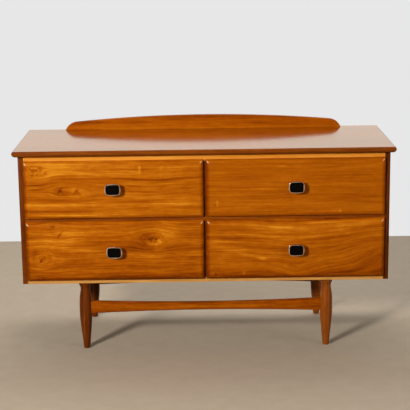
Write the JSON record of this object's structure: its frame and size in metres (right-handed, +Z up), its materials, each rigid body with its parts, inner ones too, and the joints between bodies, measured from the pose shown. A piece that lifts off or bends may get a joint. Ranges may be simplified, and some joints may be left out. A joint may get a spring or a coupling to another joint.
{
  "type": "lowboy",
  "caption": "Low wide chest of drawers on turned legs with stretchers, with a shaped gallery board along the back of its top and sliding drawers with square knobs.",
  "frame": {"origin": "on the floor, at the centre of the box round the whole object", "axes": "+X to the right seen from the front, +Y from the drawers towards the back, +Z up"},
  "size_m": [1.22, 0.455, 0.7159],
  "materials": {
    "top_timber": "semi-gloss lacquered timber, long grain along X",
    "gallery_timber": "semi-gloss lacquered timber",
    "side_timber": "satin lacquered timber, grain upright",
    "divider_timber": "satin lacquered timber, grain upright",
    "rail_timber": "pale satin lacquered timber",
    "leg_timber": "dark satin lacquered turned timber",
    "drawer_timber": "bare planed pale timber",
    "hardboard": "thin ply sheet, bare",
    "upper_left_front_timber": "honey-coloured figured timber, grain along X, semi-gloss lacquer",
    "upper_right_front_timber": "honey-coloured figured timber, grain along X, semi-gloss lacquer",
    "lower_left_front_timber": "honey-coloured figured timber, grain along X, semi-gloss lacquer",
    "lower_right_front_timber": "honey-coloured figured timber, grain along X, semi-gloss lacquer",
    "knob_metal": "pale champagne anodised metal, satin",
    "knob_plastic": "black, satin",
    "screw_steel": "zinc-plated",
    "screw_brass": "dull brass"
  },
  "bodies": {
    "case": {"top_board": "top_timber", "gallery_board": "gallery_timber", "side_panel_left": "side_timber", "side_panel_right": "side_timber", "centre_divider": "divider_timber", "top_front_rail": "rail_timber", "mid_rail": "rail_timber", "top_back_rail": "drawer_timber", "bottom_board": "rail_timber", "back_panel": "hardboard", "front_stretcher": "leg_timber", "rear_stretcher": "leg_timber", "leg_blocks": "drawer_timber", "gallery_dowels": "drawer_timber", "top_screws": "screw_steel", "back_panel_screws": "screw_brass", "runner_screws": "screw_steel", "upper_runner_left": "drawer_timber", "upper_runner_right": "drawer_timber", "upper_runners_divider": "drawer_timber", "lower_runner_left": "drawer_timber", "lower_runner_right": "drawer_timber", "lower_runners_divider": "drawer_timber", "leg_front_left": "leg_timber", "leg_front_right": "leg_timber", "leg_rear_left": "leg_timber", "leg_rear_right": "leg_timber"},
    "upper_left_drawer": {"upper_left_drawer_front": "upper_left_front_timber", "upper_left_drawer_side_inner": "drawer_timber", "upper_left_drawer_side_outer": "drawer_timber", "upper_left_drawer_back": "drawer_timber", "upper_left_drawer_bottom": "hardboard", "upper_left_knob_body": "knob_metal", "upper_left_knob_insert": "knob_plastic", "upper_left_knob_screw": "screw_steel"},
    "upper_right_drawer": {"upper_right_drawer_front": "upper_right_front_timber", "upper_right_drawer_side_inner": "drawer_timber", "upper_right_drawer_side_outer": "drawer_timber", "upper_right_drawer_back": "drawer_timber", "upper_right_drawer_bottom": "hardboard", "upper_right_knob_body": "knob_metal", "upper_right_knob_insert": "knob_plastic", "upper_right_knob_screw": "screw_steel"},
    "lower_left_drawer": {"lower_left_drawer_front": "lower_left_front_timber", "lower_left_drawer_side_inner": "drawer_timber", "lower_left_drawer_side_outer": "drawer_timber", "lower_left_drawer_back": "drawer_timber", "lower_left_drawer_bottom": "hardboard", "lower_left_knob_body": "knob_metal", "lower_left_knob_insert": "knob_plastic", "lower_left_knob_screw": "screw_steel"},
    "lower_right_drawer": {"lower_right_drawer_front": "lower_right_front_timber", "lower_right_drawer_side_inner": "drawer_timber", "lower_right_drawer_side_outer": "drawer_timber", "lower_right_drawer_back": "drawer_timber", "lower_right_drawer_bottom": "hardboard", "lower_right_knob_body": "knob_metal", "lower_right_knob_insert": "knob_plastic", "lower_right_knob_screw": "screw_steel"}
  },
  "joints": [
    {"name": "upper_left_drawer_slide", "type": "slide", "parent": "case", "child": "upper_left_drawer", "axis": [0, -1, 0], "range_m": [0, 0.3]},
    {"name": "upper_right_drawer_slide", "type": "slide", "parent": "case", "child": "upper_right_drawer", "axis": [0, -1, 0], "range_m": [0, 0.3]},
    {"name": "lower_left_drawer_slide", "type": "slide", "parent": "case", "child": "lower_left_drawer", "axis": [0, -1, 0], "range_m": [0, 0.3]},
    {"name": "lower_right_drawer_slide", "type": "slide", "parent": "case", "child": "lower_right_drawer", "axis": [0, -1, 0], "range_m": [0, 0.3]}
  ]
}
